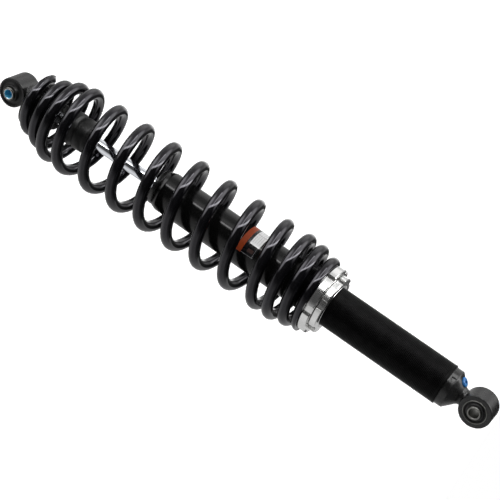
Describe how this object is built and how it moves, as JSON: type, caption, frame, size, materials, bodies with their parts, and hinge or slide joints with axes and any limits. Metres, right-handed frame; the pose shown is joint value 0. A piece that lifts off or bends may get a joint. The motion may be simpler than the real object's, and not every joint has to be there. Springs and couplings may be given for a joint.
{
  "type": "coil-over shock absorber",
  "caption": "Coil-over gas shock absorber with a rubber-bushed eye at each end, an outer coil spring, threaded preload and lock collars, a chromed rod and a bump stop.",
  "frame": {"origin": "centre of the body eye's bore, where a bolt holds the shock", "axes": "+Z from the rod eye towards the body eye, along the rod; the bores of both eyes lie along Y"},
  "size_m": [0.0922, 0.0923, 0.5933],
  "materials": {
    "black_paint": "semi-gloss black paint",
    "spring_powder_coat": "gloss black powder coat with a fine orange peel",
    "tube_black": "satin black coating, finely threaded at the collar end",
    "chrome_rod": "ground and hard-chromed",
    "machined_aluminium": "bright turned aluminium",
    "zinc_steel": "zinc-plated steel",
    "inner_steel": "oiled steel",
    "black_rubber": "matte moulded rubber",
    "seal_rubber": "smooth nitrile",
    "blue_plastic": "translucent-looking blue moulded plastic",
    "bronze_ptfe": "filled PTFE",
    "label_print": "printed vinyl with a blank panel, rules and an orange band"
  },
  "bodies": {
    "damper_body": {"body_tube": "tube_black", "body_eye": "black_paint", "body_cap_oring": "seal_rubber", "body_bush_shell": "zinc_steel", "body_bush_rubber": "black_rubber", "gas_plug": "blue_plastic", "rod_guide": "machined_aluminium", "rod_guide_oring": "seal_rubber", "rod_guide_bush": "bronze_ptfe", "rod_seal": "seal_rubber", "guide_circlip": "inner_steel", "head_cap": "black_paint", "dust_wiper": "seal_rubber", "label": "label_print", "coil_spring": "spring_powder_coat"},
    "preload_ring": {"preload_collar": "machined_aluminium"},
    "lock_ring": {"lock_collar": "machined_aluminium"},
    "body_sleeve": {"body_bush_sleeve": "zinc_steel"},
    "spring_seat": {"spring_retainer": "black_paint"},
    "rod_assembly": {"piston_rod": "chrome_rod", "rod_eye": "black_paint", "rod_bush_rubber": "black_rubber", "top_out_spacer": "black_rubber", "rebound_washer": "inner_steel", "rebound_shims": "inner_steel", "piston": "machined_aluminium", "piston_band": "bronze_ptfe", "compression_shims": "inner_steel", "nut_washer": "inner_steel", "piston_nut": "inner_steel"},
    "bump_rubber": {"bump_stop": "black_rubber"},
    "rod_sleeve": {"rod_bush_sleeve": "zinc_steel", "rod_bore_liner": "blue_plastic"},
    "gas_piston": {"floating_piston": "machined_aluminium", "floating_piston_oring": "seal_rubber"}
  },
  "joints": [
    {"name": "shock_travel", "type": "slide", "parent": "damper_body", "child": "spring_seat", "axis": [0, 0, 1], "range_m": [0, 0.0915], "stiffness_N_per_m": 28000, "springref_m": -0.006, "deforming": ["coil_spring"]},
    {"name": "rod_turn", "type": "hinge", "parent": "spring_seat", "child": "rod_assembly", "pos_m": [0, 0, 0], "axis": [0, 0, 1], "continuous": true},
    {"name": "bump_stop_slide", "type": "slide", "parent": "rod_assembly", "child": "bump_rubber", "axis": [0, 0, 1], "range_m": [-0.01, 0]},
    {"name": "rod_bush_twist", "type": "hinge", "parent": "rod_assembly", "child": "rod_sleeve", "pos_m": [0, 0, -0.561], "axis": [0, -1, 0], "range_deg": [-20, 20], "stiffness_Nm_per_rad": 20},
    {"name": "body_bush_twist", "type": "hinge", "parent": "damper_body", "child": "body_sleeve", "pos_m": [0, 0, 0], "axis": [0, -1, 0], "range_deg": [-20, 20], "stiffness_Nm_per_rad": 20},
    {"name": "preload_collar_turn", "type": "hinge", "parent": "damper_body", "child": "preload_ring", "pos_m": [0, 0, -0.179], "axis": [0, 0, 1], "continuous": true},
    {"name": "lock_collar_turn", "type": "hinge", "parent": "damper_body", "child": "lock_ring", "pos_m": [0, 0, -0.171], "axis": [0, 0, 1], "continuous": true},
    {"name": "gas_piston_travel", "type": "slide", "parent": "damper_body", "child": "gas_piston", "axis": [0, 0, 1], "range_m": [0, 0.0115]}
  ],
  "couplings": [
    {"joint": "bump_stop_slide", "follows": "shock_travel", "ratio": -0.106},
    {"joint": "gas_piston_travel", "follows": "shock_travel", "ratio": 0.1206}
  ]
}
